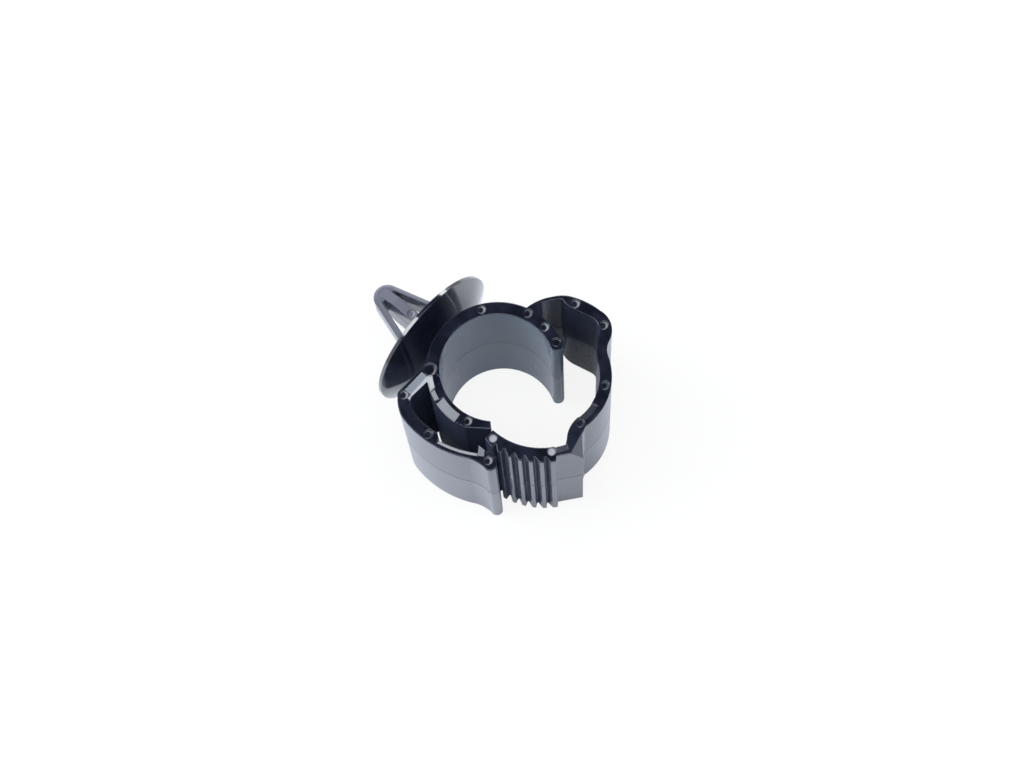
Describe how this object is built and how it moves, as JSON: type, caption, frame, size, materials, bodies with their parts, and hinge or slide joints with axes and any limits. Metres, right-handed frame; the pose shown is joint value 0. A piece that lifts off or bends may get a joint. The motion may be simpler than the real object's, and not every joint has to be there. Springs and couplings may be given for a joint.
{
  "type": "push-in ratchet tube clamp",
  "caption": "Moulded ratchet clip for a tube or cable: an open saddle, a hinged toothed strap, a pawl arm and a push-in arrowhead anchor with a dished disc.",
  "frame": {"origin": "on the bore axis of the saddle, at the bottom rim plane", "axes": "+Z along the bore axis to the rim with the ejector marks; +X along the anchor to the tip of its nose; +Y completes the set"},
  "size_m": [0.0413, 0.0304, 0.022],
  "materials": {
    "moulding": "glossy bluish black"
  },
  "bodies": {
    "root": {"ratchet_clamp": "moulding"}
  },
  "joints": []
}
